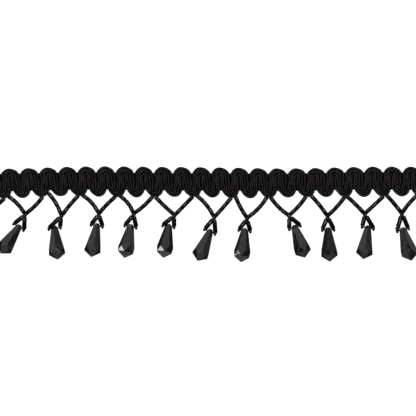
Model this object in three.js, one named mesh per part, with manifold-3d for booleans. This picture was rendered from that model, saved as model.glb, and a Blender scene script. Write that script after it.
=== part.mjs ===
// Beaded fringe trim: a scalloped gimp braid with strands of bugle beads and faceted teardrop drops.
// It lies face up. X runs along the braid, Y towards its upper edge and Z up, all in millimetres.
// The back of the braid and the undersides of the beads lie on Z = 0.
import * as THREE from "three";
import { mergeVertices } from "three/addons/utils/BufferGeometryUtils.js";
import Module from "manifold-3d";

// Braid: a band of cords side by side, running back and forth between two rows of bends
const LOWER_SCALLOPS = 25;
const LOWER_PITCH = 9.465;
const UPPER_PITCH = 9.55;
const UPPER_SHIFT = 3.3; // from the first lower bend to the first upper one
const CORDS = 4;
const CORD_HEIGHT = 1.5;
const GROOVE_DEPTH = 0.4;
const INNER_DIP = 0.55; // how far the innermost cord sinks at a bend
const EDGE_SHARE = 0.5; // height of the band's edge, as a share of its cord
const BEND_STEPS = 6;

// Braid width, measured from the middle line between the two rows of notches
const HALF_CORE = 4.38;
const UPPER_RADIUS = 4.95;
const LOWER_RADIUS = 4.8;
const UPPER_RISE = 2.85; // a scallop's peak beyond its notches
const LOWER_RISE = 3.05;
const CLOSED_SLIT = 0.4; // between neighbouring legs, inside a bend
const OPEN_SLIT = 0.85; // between neighbouring legs, at a notch

// Ground: the flat threads behind the legs, from notch to notch
const GROUND_HEIGHT = 0.5;

// Unevenness of the hand-laid braid: slow waves of its middle line, and of how far the bends reach out
const MIDDLE_WAVES = [
  { height: -0.32, length: 135, crest: -109 },
  { height: -0.14, length: 73, crest: -94 },
];
const UPPER_WAVES = [{ height: 0.32, length: 158, crest: -17.6 }];
const LOWER_WAVES = [{ height: 0.3, length: 59.5, crest: -94.5 }];

// Beads and their thread
const BUGLE_WIDTH = 1.8;
const LOOP_BUGLE_WIDTH = 1.5;
const BUGLES_PER_LEG = 3;
const BEAD_GAP = 0.4;
const SEED_WIDTH = 1;
const THREAD_WIDTH = 0.5;
const HOLE_THREAD_WIDTH = 0.3;
const SEED_SLOPE = 0.1; // from a seed bead's face to the thread beside it
const THREAD_LEVEL = 0.9; // of the thread's middle above the surface
const ROOT_GAP = 0.35; // between a root thread and the scallop it follows
const ROOT_LENGTH = 0.5; // bare thread before a leg's first bead
const ROOT_STEPS = 3;
const CROSSING_REACH = 1.1; // from the crossing's middle to the beads round it
const SHOULDER_DROP = 1.4; // from the crossing to the top of its loop
const SHOULDER_REACH = 0.8; // half of the loop's width there

// Drop bead: a six-sided teardrop, given along its axis from the narrow head down to the tip. Its last ring
// is turned by half a side, so a belt of twelve triangular facets joins it to the ring above.
const DROP_SIDES = 6;
const DROP_RINGS = [
  { at: 0, radius: 1.1, turn: 0 },
  { at: 1.9, radius: 2, turn: 0 },
  { at: 11.7, radius: 4.17, turn: 0 },
  { at: 14.4, radius: 4.2, turn: -30 },
];
const DROP_LENGTH = 17.3;
const HOLE_DEPTH = 1.1;
const HOLE_RADIUS = 0.5;
const HOLE_SIDES = 8;
const HOLE_LENGTH = 5; // past both sides of the head
const SEED_REACH = 2.65; // from the drop's axis to the seed beads beside its head
const ELBOW_REACH = 2.35; // from the axis to where the loop turns down to its seed beads
const ELBOW_RISE = 0.3; // of that turn, above the top of the head

// One row for each drop, left to right. The left and right leg leave their scallops at a distance right of
// the scallop's middle. The crossing is measured from the middle between those scallops and down from their
// notches, and the head from the crossing. Tilt turns the tip to the right and roll turns the facets about
// the drop's axis, in degrees, and bow is how far each leg bulges into the V.
const DROPS = [
  { left: 2.2, right: 0.2, cross: [1.5, 12.3], head: [-1.0, -5.3], tilt: -6, roll: 3, bow: [0.5, 0.2] },
  { left: 3.1, right: 0.4, cross: [1.6, 11.6], head: [-2.6, -5.4], tilt: -33, roll: -22, bow: [0.7, -0.5] },
  { left: 3.9, right: -0.7, cross: [0.8, 12.8], head: [-3.6, -5.2], tilt: 7, roll: 28, bow: [0.7, 0.3] },
  { left: 2.0, right: -1.2, cross: [0.5, 11.8], head: [-0.9, -5.1], tilt: -9, roll: -22, bow: [0.9, 0.3] },
  { left: 2.0, right: -1.5, cross: [-1.0, 11.7], head: [-1.5, -5.4], tilt: -10.5, roll: -6, bow: [0.9, -0.5] },
  { left: 0.6, right: -0.4, cross: [0.4, 12.3], head: [-2.9, -4.5], tilt: -9, roll: 0, bow: [-0.2, 0.0] },
  { left: 2.3, right: -0.1, cross: [1.3, 13.2], head: [-1.8, -6.2], tilt: -23, roll: -26, bow: [0.8, -0.1] },
  { left: 2.6, right: -1.3, cross: [-1.3, 13.6], head: [-1.1, -5.1], tilt: -7, roll: -6, bow: [-0.4, -0.8] },
  { left: 1.3, right: -0.7, cross: [0.6, 12.3], head: [2.6, -4.8], tilt: 18, roll: 14, bow: [-0.6, -0.5] },
  { left: 2.5, right: -0.2, cross: [1.0, 12.8], head: [0.2, -5.8], tilt: 2, roll: 14, bow: [0.3, -0.4] },
  { left: 1.6, right: 0.1, cross: [0.6, 12.1], head: [1.7, -5.9], tilt: -9.5, roll: 24, bow: [0.2, 0.0] },
  { left: 2.4, right: -2.0, cross: [0.2, 11.7], head: [0.2, -7.2], tilt: 14, roll: -20, bow: [0.2, 0.4] },
];

const MERGE_DISTANCE = 1e-4;

const wasm = await Module();
wasm.setup();

function toSolid(geometry) {
  const bare = geometry.clone();
  bare.deleteAttribute("normal");
  bare.deleteAttribute("uv");
  const merged = mergeVertices(bare, MERGE_DISTANCE);
  return new wasm.Manifold(
    new wasm.Mesh({
      numProp: 3,
      vertProperties: merged.attributes.position.array,
      triVerts: new Uint32Array(merged.index.array),
    }),
  );
}

function toGeometry(solid) {
  const { vertProperties, triVerts } = solid.getMesh();
  const indexed = new THREE.BufferGeometry();
  indexed.setAttribute("position", new THREE.BufferAttribute(vertProperties, 3));
  indexed.setIndex(new THREE.BufferAttribute(triVerts, 1));
  const flat = indexed.toNonIndexed();
  flat.computeVertexNormals();
  return flat;
}

// A closed skin over rings of equally many points, with a fan of faces over each end.
// The rings turn anticlockwise for an eye that looks back along the run.
function loft(rings) {
  const count = rings[0].length;
  const points = rings.flat();
  const faces = [];
  for (let start = 0; start < (rings.length - 1) * count; start += count) {
    for (let k = 0; k < count; k++) {
      const a = start + k;
      const b = start + ((k + 1) % count);
      faces.push(a, b, b + count, a, b + count, a + count);
    }
  }
  for (const [ring, start] of [[rings[0], 0], [rings.at(-1), (rings.length - 1) * count]]) {
    const middle = points.length;
    points.push(ring.reduce((sum, p) => sum.add(p), new THREE.Vector3()).divideScalar(count));
    for (let k = 0; k < count; k++) {
      const a = start + k;
      const b = start + ((k + 1) % count);
      faces.push(...(start === 0 ? [b, a, middle] : [a, b, middle]));
    }
  }
  const geometry = new THREE.BufferGeometry().setFromPoints(points);
  geometry.setIndex(faces);
  return geometry;
}

function waveAt(x, waves = MIDDLE_WAVES) {
  return waves.reduce(
    (sum, wave) => sum + wave.height * Math.cos((2 * Math.PI * (x - wave.crest)) / wave.length),
    0,
  );
}

// Bends of the braid and the notches between them, numbered from the left
function lowerBend(i) {
  const x = (i - (LOWER_SCALLOPS - 1) / 2) * LOWER_PITCH;
  const y = LOWER_RADIUS - LOWER_RISE - HALF_CORE + waveAt(x);
  return { x, y, radius: LOWER_RADIUS + waveAt(x, LOWER_WAVES), side: -1 };
}

function upperBend(i) {
  const x = lowerBend(0).x + UPPER_SHIFT + i * UPPER_PITCH;
  const y = HALF_CORE + UPPER_RISE - UPPER_RADIUS + waveAt(x);
  return { x, y, radius: UPPER_RADIUS + waveAt(x, UPPER_WAVES), side: 1 };
}

function notch(bend, next) {
  const x = (bend.x + next.x) / 2;
  return new THREE.Vector2(x, bend.side * HALF_CORE + waveAt(x));
}

// A section of the band, with a flat foot and a ridge for each cord. Across runs from the edge that lies
// outermost in the lower bends, 0, to the edge that lies outermost in the upper ones, 1.
function bandSection(placeAt, dipAt) {
  const ridged = [];
  for (let k = 0; k <= 2 * CORDS; k++) {
    const across = k / (2 * CORDS);
    const crest = CORD_HEIGHT - dipAt(across);
    const isEdge = across === 0 || across === 1;
    const grooved = k % 2 === 0 ? crest - GROOVE_DEPTH : crest;
    const { x, y } = placeAt(across);
    ridged.push(new THREE.Vector3(x, y, isEdge ? crest * EDGE_SHARE : grooved));
  }
  const foot = (point) => new THREE.Vector3(point.x, point.y, 0);
  return [foot(ridged.at(-1)), ...ridged.toReversed(), foot(ridged[0])];
}

// The sections round one bend, from its left leg to its right leg
function bendSections(bend, before, after) {
  const inner = CLOSED_SLIT / 2;
  const leftReach = bend.x - notch(before, bend).x - OPEN_SLIT / 2;
  const rightReach = notch(bend, after).x - bend.x - OPEN_SLIT / 2;
  const rankAt = (across) => (bend.side > 0 ? across : 1 - across);
  const dipAt = (across) => INNER_DIP * (1 - rankAt(across)) ** 2;
  const sections = [];
  for (let step = 0; step <= BEND_STEPS; step++) {
    const turn = (Math.PI * step) / BEND_STEPS;
    const reach = { 0: leftReach, [BEND_STEPS]: rightReach }[step] ?? bend.radius;
    const placeAt = (across) => {
      const rho = inner + rankAt(across) * (reach - inner);
      return { x: bend.x - rho * Math.cos(turn), y: bend.y + bend.side * rho * Math.sin(turn) };
    };
    sections.push(bandSection(placeAt, dipAt));
  }
  return sections;
}

// The full-height section in the middle of a leg, between the ends of two bends
function legSection(section, next) {
  const placeAt = (across) => {
    const k = 1 + Math.round((1 - across) * 2 * CORDS);
    return section[k].clone().lerp(next[k], 0.5);
  };
  return bandSection(placeAt, () => 0);
}

// The cut end of the band, level with the upper notches
function cutSection(section) {
  const rise = Math.max(...section.map((point) => HALF_CORE + waveAt(point.x) - point.y));
  return section.map((point) => new THREE.Vector3(point.x, point.y + rise, point.z));
}

function bandSections() {
  const upperAt = (i) => bendSections(upperBend(i), upperBend(i - 1), upperBend(i + 1));
  const lowerAt = (i) => bendSections(lowerBend(i), lowerBend(i - 1), lowerBend(i + 1));
  const firstLeg = upperAt(-1).at(-1);
  const lastLeg = upperAt(LOWER_SCALLOPS - 1)[0];
  const runs = [[cutSection(firstLeg), firstLeg]];
  for (let i = 0; i < LOWER_SCALLOPS; i++) {
    runs.push(lowerAt(i));
    if (i < LOWER_SCALLOPS - 1) runs.push(upperAt(i));
  }
  runs.push([lastLeg, cutSection(lastLeg)]);
  const legs = runs.slice(1).map((run, r) => [legSection(runs[r].at(-1), run[0])]);
  return runs.flatMap((run, r) => [...(legs[r - 1] ?? []), ...run]);
}

function groundGeometry(leftEnd, rightEnd) {
  const atEnd = (x, side) => new THREE.Vector2(x, side * HALF_CORE + waveAt(x));
  const outline = [atEnd(leftEnd, -1)];
  for (let i = 0; i < LOWER_SCALLOPS - 1; i++) outline.push(notch(lowerBend(i), lowerBend(i + 1)));
  outline.push(atEnd(rightEnd, -1), atEnd(rightEnd, 1));
  for (let i = LOWER_SCALLOPS - 2; i >= -1; i--) outline.push(notch(upperBend(i), upperBend(i + 1)));
  outline.push(atEnd(leftEnd, 1));
  const settings = { depth: GROUND_HEIGHT, bevelEnabled: false };
  return new THREE.ExtrudeGeometry(new THREE.Shape(outline), settings);
}

function braidGeometry() {
  const sections = bandSections();
  const middleOf = (section) => (section[0].x + section.at(-1).x) / 2;
  const ground = groundGeometry(middleOf(sections[0]), middleOf(sections.at(-1)));
  return toGeometry(toSolid(loft(sections)).add(toSolid(ground)));
}

// A thread with beads on it: a four-sided run of given width at each stop
function strandSolid(stops) {
  const up = new THREE.Vector3(0, 0, 1);
  const rings = stops.map(({ point, width }, s) => {
    const from = stops[Math.max(s - 1, 0)].point;
    const to = stops[Math.min(s + 1, stops.length - 1)].point;
    const along = to.clone().sub(from).normalize();
    const side = along.clone().cross(up).normalize().multiplyScalar(width / 2);
    const rise = side.clone().cross(along).normalize().multiplyScalar(width / 2);
    return [[1, 1], [1, -1], [-1, -1], [-1, 1]].map(([a, b]) =>
      point.clone().addScaledVector(side, a).addScaledVector(rise, b),
    );
  });
  return toSolid(loft(rings));
}

// The stops of one bead between two points
function beadStops(from, to, width) {
  const along = to.clone().sub(from).normalize().multiplyScalar(BEAD_GAP / 2);
  return [
    { point: from.clone().add(along), width },
    { point: to.clone().sub(along), width },
  ];
}

function onSurface(x, y) {
  return new THREE.Vector3(x, y, THREAD_LEVEL);
}

// The place where a leg leaves its scallop, a given distance right of the scallop's middle
function rootPoint(scallop, offset) {
  const bend = lowerBend(scallop);
  const reach = bend.radius + ROOT_GAP + THREAD_WIDTH / 2;
  return onSurface(bend.x + offset, bend.y - Math.sqrt(reach ** 2 - offset ** 2));
}

// The thread that runs along a scallop's edge from one leg's root to the next leg's
function rootThread(scallop, leftOffset, rightOffset) {
  const stops = [];
  for (let step = 0; step <= ROOT_STEPS; step++) {
    const offset = THREE.MathUtils.lerp(leftOffset, rightOffset, step / ROOT_STEPS);
    stops.push({ point: rootPoint(scallop, offset), width: THREAD_WIDTH });
  }
  return strandSolid(stops);
}

function legSolid(root, crossing, bow) {
  const along = crossing.clone().sub(root).normalize();
  const first = root.clone().addScaledVector(along, ROOT_LENGTH);
  const last = crossing.clone().addScaledVector(along, -CROSSING_REACH);
  const bulge = new THREE.Vector3(-along.y, along.x, 0).multiplyScalar(along.x > 0 ? bow : -bow);
  const joints = [];
  for (let j = 0; j <= BUGLES_PER_LEG; j++) {
    const share = j / BUGLES_PER_LEG;
    const rise = 1 - (2 * share - 1) ** 2;
    joints.push(first.clone().lerp(last, share).addScaledVector(bulge, rise));
  }
  const stops = [{ point: root, width: THREAD_WIDTH }];
  for (let j = 0; j < BUGLES_PER_LEG; j++) {
    stops.push(...beadStops(joints[j], joints[j + 1], BUGLE_WIDTH));
    if (j + 1 < BUGLES_PER_LEG) stops.push({ point: joints[j + 1], width: THREAD_WIDTH });
  }
  stops.push({ point: crossing, width: THREAD_WIDTH });
  return strandSolid(stops);
}

// One side of the open loop, from the crossing over a bugle bead to the seed bead beside the drop's head
function loopSide(crossing, down, place, side) {
  const across = new THREE.Vector3(-down.y, down.x, 0).multiplyScalar(side * SHOULDER_REACH);
  const shoulder = crossing.clone().addScaledVector(down, SHOULDER_DROP).add(across);
  const elbow = besideHead(place, side * ELBOW_REACH, -ELBOW_RISE).setZ(THREAD_LEVEL);
  return strandSolid([
    { point: crossing, width: THREAD_WIDTH },
    ...beadStops(shoulder, elbow, LOOP_BUGLE_WIDTH),
    { point: besideHead(place, side * SEED_REACH, HOLE_DEPTH), width: THREAD_WIDTH },
  ]);
}

// The two seed beads beside a drop's head, and the thread between them through its cross hole
function holeThread(left, right) {
  const across = right.clone().sub(left).normalize();
  const at = (end, offset) => end.clone().addScaledVector(across, offset);
  const half = SEED_WIDTH / 2;
  return strandSolid([
    { point: at(left, -half), width: SEED_WIDTH },
    { point: at(left, half), width: SEED_WIDTH },
    { point: at(left, half + SEED_SLOPE), width: HOLE_THREAD_WIDTH },
    { point: at(right, -half - SEED_SLOPE), width: HOLE_THREAD_WIDTH },
    { point: at(right, -half), width: SEED_WIDTH },
    { point: at(right, half), width: SEED_WIDTH },
  ]);
}

// How far a ring of the drop reaches below the axis, for facets rolled by some degrees
function reachBelow(ring, roll) {
  const side = 360 / DROP_SIDES;
  const toCorner = (90 + ring.turn + roll + side / 2 + 360) % side;
  return ring.radius * Math.cos(THREE.MathUtils.degToRad(toCorner - side / 2));
}

// Where each drop lies: it rests on its shoulder and on its widest rings, so its axis rises towards the tip
function dropPlace(row, crossing) {
  const [shoulder, ...wide] = DROP_RINGS.slice(1);
  const low = reachBelow(shoulder, row.roll);
  const slopes = wide.map((ring) => (reachBelow(ring, row.roll) - low) / (ring.at - shoulder.at));
  const pitch = Math.atan(Math.max(...slopes));
  const place = new THREE.Object3D();
  place.rotation.set(-pitch, 0, THREE.MathUtils.degToRad(row.tilt), "ZXY");
  const level = low * Math.cos(pitch) - shoulder.at * Math.sin(pitch);
  place.position.set(crossing.x + row.head[0], crossing.y + row.head[1], level);
  place.updateMatrixWorld();
  return place;
}

function besideHead(place, reach, depth) {
  return new THREE.Vector3(reach, -depth, 0).applyMatrix4(place.matrixWorld);
}

function dropGeometry(roll) {
  const rings = DROP_RINGS.map(({ at, radius, turn }) => {
    const ring = [];
    for (let k = 0; k < DROP_SIDES; k++) {
      const angle = (2 * Math.PI * k) / DROP_SIDES + THREE.MathUtils.degToRad(turn);
      ring.push(new THREE.Vector3(radius * Math.cos(angle), -at, radius * Math.sin(angle)));
    }
    return ring;
  });
  rings.push(rings[0].map(() => new THREE.Vector3(0, -DROP_LENGTH, 0)));
  const body = loft(rings).rotateY(THREE.MathUtils.degToRad(roll));
  const hole = new THREE.CylinderGeometry(HOLE_RADIUS, HOLE_RADIUS, HOLE_LENGTH, HOLE_SIDES);
  hole.rotateZ(Math.PI / 2).translate(0, -HOLE_DEPTH, 0);
  return toGeometry(toSolid(body).subtract(toSolid(hole)));
}

const gimp = new THREE.MeshStandardMaterial({ color: 0x141317, roughness: 0.6, metalness: 0 });
const glass = new THREE.MeshStandardMaterial({ color: 0x18171a, roughness: 0.12, metalness: 0 });
const acrylic = new THREE.MeshStandardMaterial({ color: 0x1b1a1e, roughness: 0.08, metalness: 0 });

function namedMesh(name, geometry, material) {
  const mesh = new THREE.Mesh(geometry, material);
  mesh.name = name;
  return mesh;
}

const trim = new THREE.Group();
trim.add(namedMesh("gimp_braid", braidGeometry(), gimp));

const strands = [];
DROPS.forEach((row, d) => {
  const leftScallop = 2 * d;
  const rightScallop = leftScallop + 2;
  const middle = (lowerBend(leftScallop).x + lowerBend(rightScallop).x) / 2;
  const crossing = onSurface(middle + row.cross[0], -HALF_CORE + waveAt(middle) - row.cross[1]);
  const place = dropPlace(row, crossing);
  const hole = new THREE.Vector3(0, -HOLE_DEPTH, 0).applyMatrix4(place.matrixWorld);
  const down = hole.clone().sub(crossing).setZ(0).normalize();

  strands.push(
    legSolid(rootPoint(leftScallop, row.left), crossing, row.bow[0]),
    legSolid(rootPoint(rightScallop, row.right), crossing, row.bow[1]),
    strandSolid(
      [-1, -0.5, 0.5, 1].map((share) => ({
        point: crossing.clone().addScaledVector(down, share * SEED_WIDTH),
        width: Math.abs(share) < 1 ? SEED_WIDTH : THREAD_WIDTH,
      })),
    ),
    loopSide(crossing, down, place, -1),
    loopSide(crossing, down, place, 1),
    holeThread(besideHead(place, -SEED_REACH, HOLE_DEPTH), besideHead(place, SEED_REACH, HOLE_DEPTH)),
  );
  if (d > 0) strands.push(rootThread(leftScallop, DROPS[d - 1].right, row.left));

  const drop = namedMesh("drop_" + String(d + 1).padStart(2, "0"), dropGeometry(row.roll), acrylic);
  drop.position.copy(place.position);
  drop.rotation.copy(place.rotation);
  trim.add(drop);
});
trim.add(namedMesh("bead_strands", toGeometry(wasm.Manifold.union(strands)), glass));

// The part's origin is the middle of its foot
const box = new THREE.Box3().setFromObject(trim, true);
const centre = box.getCenter(new THREE.Vector3());
trim.position.set(-centre.x, -centre.y, -box.min.z);

export default trim;
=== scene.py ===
# Beaded fringe trim: a scalloped gimp braid with strands of bugle beads and faceted drops, laid face up.
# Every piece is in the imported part's frame: X along the braid, Y towards its upper edge, Z up, in metres.
# Tables and the working of the shapes are in millimetres, measured from the middle line of the braid.
import math

import bpy
from bpy.props import FloatProperty, FloatVectorProperty, IntProperty, PointerProperty
from mathutils import Matrix, Vector


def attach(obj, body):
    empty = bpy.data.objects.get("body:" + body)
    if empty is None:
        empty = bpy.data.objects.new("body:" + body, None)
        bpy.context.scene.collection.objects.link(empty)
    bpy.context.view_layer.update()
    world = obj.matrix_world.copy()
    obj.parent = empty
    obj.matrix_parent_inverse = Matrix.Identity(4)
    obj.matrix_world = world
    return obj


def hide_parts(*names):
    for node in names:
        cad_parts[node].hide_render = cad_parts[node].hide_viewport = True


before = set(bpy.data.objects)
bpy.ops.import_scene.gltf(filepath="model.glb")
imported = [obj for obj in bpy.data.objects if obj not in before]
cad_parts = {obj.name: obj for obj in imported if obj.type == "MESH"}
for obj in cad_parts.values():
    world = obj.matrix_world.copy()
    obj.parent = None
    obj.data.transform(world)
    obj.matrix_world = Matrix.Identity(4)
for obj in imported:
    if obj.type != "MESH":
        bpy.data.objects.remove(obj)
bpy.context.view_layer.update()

bl_info = {
    "name": "Beaded Fringe Trim",
    "version": (1, 0, 0),
    "blender": (4, 5, 0),
    "location": "View3D > Sidebar > Trim",
    "description": "Gimp braid with bugle bead strands and faceted teardrop beads",
    "category": "Object",
}

MM = 0.001
BODY = "root"
TURN = 2 * math.pi
QUARTER_TURN = math.pi / 2
WHITE = (1, 1, 1, 1)
# Painted shade: the flat black that the glossy pieces turn to at their steep sides and edges
EDGE_SHADE_BLACK = (0.0012, 0.001, 0.0014, 1)

# The middle of the braid in the part's frame, in millimetres
MIDDLE_LINE = Vector((0.455, 16.201, 0.0))

# A scallop's side of the braid
UPPER = 1
LOWER = -1

# Mesh work: corners closer than this, in metres, are merged. Edges flatter than this angle look smooth. A
# face looks along an axis when at least this much of its normal does. A rounded edge has this many steps.
MERGE_DISTANCE = 0.000001
SMOOTH_ANGLE = math.radians(35)
LOOKS_ALONG = 0.9
EDGE_STEPS = 2

# Slow waves of the hand-laid braid: of its middle line, and of how far its bends reach out
MIDDLE_WAVES = [
    {"height": -0.32, "length": 135, "crest": -109},
    {"height": -0.14, "length": 73, "crest": -94},
]
UPPER_WAVES = [{"height": 0.32, "length": 158, "crest": -17.6}]
LOWER_WAVES = [{"height": 0.3, "length": 59.5, "crest": -94.5}]

# One repeat of each cord, from the top of an upper bend down its falling leg, round the lower bend and up the
# rising leg. Each point is right of the lower bend's middle, above the braid's middle line, and above the
# table. Cord 1 lies along the edge of the lower scallops, and cord 4 along the edge of the upper ones.
CORD_PATHS = [
    [
        (-6.35, 3.8, 0.6), (-5.75, 3.3, 0.62), (-5.53, 2.2, 0.7), (-5.45, 1.0, 0.8), (-5.32, 0.0, 0.86),
        (-5.12, -1.0, 0.9), (-4.82, -2.0, 0.9), (-4.4, -3.1, 0.95), (-3.98, -4.0, 0.93), (-3.4, -4.9, 0.9),
        (-2.6, -5.8, 0.88), (-1.75, -6.5, 0.86), (-0.8, -7.05, 0.86), (0.15, -7.22, 0.88), (1.1, -7.12, 0.9),
        (2.0, -6.75, 0.92), (2.8, -6.05, 0.92), (3.3, -5.2, 0.92), (3.62, -4.3, 0.92), (3.55, -3.4, 0.92),
        (3.2, -2.3, 0.86), (2.95, -1.1, 0.78), (2.72, 0.0, 0.72), (2.6, 1.2, 0.68), (2.5, 2.4, 0.65),
        (2.6, 3.2, 0.62),
    ],
    [
        (-6.65, 5.1, 0.97), (-5.9, 4.85, 0.95), (-5.35, 4.1, 0.92), (-4.95, 3.2, 0.9), (-4.8, 2.2, 0.87),
        (-4.48, 1.0, 0.86), (-4.2, 0.0, 0.88), (-3.95, -1.0, 0.92), (-3.52, -2.0, 0.9), (-3.2, -2.9, 0.7),
        (-2.95, -3.9, 0.6), (-2.45, -4.9, 0.58), (-1.7, -5.7, 0.58), (-0.7, -6.2, 0.56), (0.3, -6.2, 0.56),
        (1.2, -5.85, 0.56), (1.95, -5.15, 0.56), (2.35, -4.2, 0.56), (2.35, -3.1, 0.58), (2.2, -2.0, 0.6),
        (2.1, -1.0, 0.66), (1.95, 0.0, 0.74), (1.75, 1.2, 0.86), (1.55, 2.4, 0.93), (1.35, 3.4, 0.96),
        (1.4, 4.2, 0.97), (1.95, 4.85, 0.97),
    ],
    [
        (-6.8, 5.75, 0.56), (-5.9, 5.65, 0.56), (-5.0, 5.3, 0.6), (-4.3, 4.7, 0.68), (-3.9, 3.85, 0.78),
        (-3.62, 2.8, 0.82), (-3.35, 1.8, 0.87), (-3.12, 0.9, 0.9), (-2.9, 0.0, 0.92), (-2.62, -1.0, 0.94),
        (-2.42, -1.9, 0.9), (-2.3, -2.9, 0.95), (-2.22, -4.0, 0.95), (-1.75, -5.0, 0.96), (-0.85, -5.6, 0.97),
        (0.1, -5.45, 0.97), (0.8, -4.85, 0.96), (1.12, -4.0, 0.95), (1.0, -3.0, 0.95), (1.0, -2.0, 0.94),
        (1.1, -1.0, 0.94), (1.15, 0.0, 0.92), (1.0, 1.2, 0.86), (0.75, 2.2, 0.74), (0.4, 3.2, 0.58),
        (0.45, 4.2, 0.56), (0.9, 5.05, 0.56), (1.65, 5.6, 0.58),
    ],
    [
        (-6.5, 6.58, 0.86), (-5.6, 6.42, 0.88), (-4.72, 6.12, 0.9), (-3.85, 5.68, 0.92), (-3.12, 5.15, 0.93),
        (-2.6, 4.5, 0.95), (-2.3, 3.7, 0.96), (-2.1, 2.6, 0.96), (-1.85, 1.3, 0.96), (-1.5, 0.2, 0.94),
        (-1.25, -0.9, 0.88), (-1.25, -1.8, 0.76), (-1.35, -2.7, 0.7), (-1.25, -3.7, 0.64), (-0.6, -4.5, 0.62),
        (0.05, -3.7, 0.66), (0.08, -2.6, 0.74), (0.08, -1.5, 0.84), (0.12, -0.5, 0.9), (0.22, 0.6, 0.92),
        (0.08, 1.5, 0.93), (-0.28, 2.4, 0.95), (-0.58, 3.2, 0.97), (-0.65, 3.95, 0.95), (-0.42, 4.65, 0.9),
        (0.02, 5.3, 0.86), (0.55, 5.8, 0.84), (1.2, 6.25, 0.83), (2.0, 6.55, 0.83),
    ],
]

# The nearer a point of a cord lies to the upper edge, the more it moves with the upper bend, from this far
# below the middle line to this far above it. The waves of the bends' reach begin at REACH_START, either side.
BEND_BLEND = 4.0
REACH_START = 3.0

# A cord's height above the lowest one is multiplied by the relief
LOWEST_CORD = 0.6
RELIEF = 1.45

# At the braid's ends the outermost leg's points above this are left out, and the cords then run up to the
# cut with this lean
CUT_FROM = 2.5
CUT_LEAN = 0.25

# A cord is a tube with a ring at every step, and its thickness varies a little in two beats
CORD_STEP = 0.45
CORD_SIDES = 10
CORD_LUMPS = [{"depth": 0.05, "beat": 2.3}, {"depth": 0.03, "beat": 0.71}]

# The ground behind the legs stays inside the scallops by a margin, and runs past the outermost ones' middles
GROUND_COLUMNS = 480
GROUND_ROWS = 8
GROUND_MARGIN = 0.9
GROUND_OVERHANG = 3
GROUND_LEVEL = 0.05
GROUND_THICKNESS = 0.26
GROUND_THREAD_PITCH = 0.4

# Binding threads that cross the cords: their distance above the middle line, the lift of their own middle
# over a cord, and their dip between two cords
BINDING_LINES = [4.1, -1.95, -4.15]
BINDING_WIDTH = 0.2
BINDING_LIFT = 0.05
BINDING_DIP = 0.3

# Every thread is a tube with this many sides
THREAD_SIDES = 6

# One row for each drop, left to right. The left and right leg leave their scallops at a distance right of
# the scallop's middle. The crossing is measured to the right from the middle between those scallops and down
# from their notches, and the head to the right and up from the crossing. Tilt turns the tip to the right and
# roll turns the facets about the drop's axis, in degrees, and bow is how far each leg bulges into the V.
SCALLOPS_PER_DROP = 2
DROPS = [
    {
        "left": 2.2, "right": 0.2, "cross": (1.5, 12.3), "head": (-1.0, -5.3),
        "tilt": -6, "roll": 3, "bow": (0.5, 0.2),
    },
    {
        "left": 3.1, "right": 0.4, "cross": (1.6, 11.6), "head": (-2.6, -5.4),
        "tilt": -33, "roll": -22, "bow": (0.7, -0.5),
    },
    {
        "left": 3.9, "right": -0.7, "cross": (0.8, 12.8), "head": (-3.6, -5.2),
        "tilt": 7, "roll": 28, "bow": (0.7, 0.3),
    },
    {
        "left": 2.0, "right": -1.2, "cross": (0.5, 11.8), "head": (-0.9, -5.1),
        "tilt": -9, "roll": -22, "bow": (0.9, 0.3),
    },
    {
        "left": 2.0, "right": -1.5, "cross": (-1.0, 11.7), "head": (-1.5, -5.4),
        "tilt": -10.5, "roll": -6, "bow": (0.9, -0.5),
    },
    {
        "left": 0.6, "right": -0.4, "cross": (0.4, 12.3), "head": (-2.9, -4.5),
        "tilt": -9, "roll": 0, "bow": (-0.2, 0.0),
    },
    {
        "left": 2.3, "right": -0.1, "cross": (1.3, 13.2), "head": (-1.8, -6.2),
        "tilt": -23, "roll": -26, "bow": (0.8, -0.1),
    },
    {
        "left": 2.6, "right": -1.3, "cross": (-1.3, 13.6), "head": (-1.1, -5.1),
        "tilt": -7, "roll": -6, "bow": (-0.4, -0.8),
    },
    {
        "left": 1.3, "right": -0.7, "cross": (0.6, 12.3), "head": (2.6, -4.8),
        "tilt": 18, "roll": 14, "bow": (-0.6, -0.5),
    },
    {
        "left": 2.5, "right": -0.2, "cross": (1.0, 12.8), "head": (0.2, -5.8),
        "tilt": 2, "roll": 14, "bow": (0.3, -0.4),
    },
    {
        "left": 1.6, "right": 0.1, "cross": (0.6, 12.1), "head": (1.7, -5.9),
        "tilt": -9.5, "roll": 24, "bow": (0.2, 0.0),
    },
    {
        "left": 2.4, "right": -2.0, "cross": (0.2, 11.7), "head": (0.2, -7.2),
        "tilt": 14, "roll": -20, "bow": (0.2, 0.4),
    },
]

# A leg's root lies below its scallop by a gap. Its first bead starts above the root, and its last bead ends
# short of the crossing.
THREAD_LEVEL = 1.1
BUGLES_PER_LEG = 3
ROOT_GAP = 0.6
LEG_START = 0.6
CROSSING_SPREAD = 0.55

# The thread's stitch into the scallop: out from the scallop's edge, and above the table
STITCH_PATH = [(0.1, 1.0), (-0.55, 1.55), (-1.15, 1.3), (-1.45, 0.8)]

# Two seed beads sit below the crossing. The loop opens at its shoulders, the right one over the left one. A
# bugle bead on each side runs to the elbow, and a seed bead on each side closes the loop at the drop's head.
WAIST_SEEDS = [0.2, 1.2]
SHOULDER_DROP = 1.55
SHOULDER_REACH = 0.5
RIGHT_SHOULDER_LIFT = 0.9
ELBOW_REACH = 2.75
ELBOW_DEPTH = 0.6
SEED_REACH = 2.95

# A bugle bead: its sides, its wall and its rim's rounding as shares of its width, and what counts as a rim
BUGLE_SIDES = 12
BUGLE_WALL = 0.26
BUGLE_RIM = 0.09
RIM_ANGLE = math.radians(60)

# A seed bead is a ring: its middle line's and its wall's radius as shares of its width, and its stretch
SEED_SIDES = 12
SEED_WALL_SIDES = 8
SEED_RING = 0.3
SEED_WALL = 0.2
SEED_STRETCH = 1.4

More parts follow.
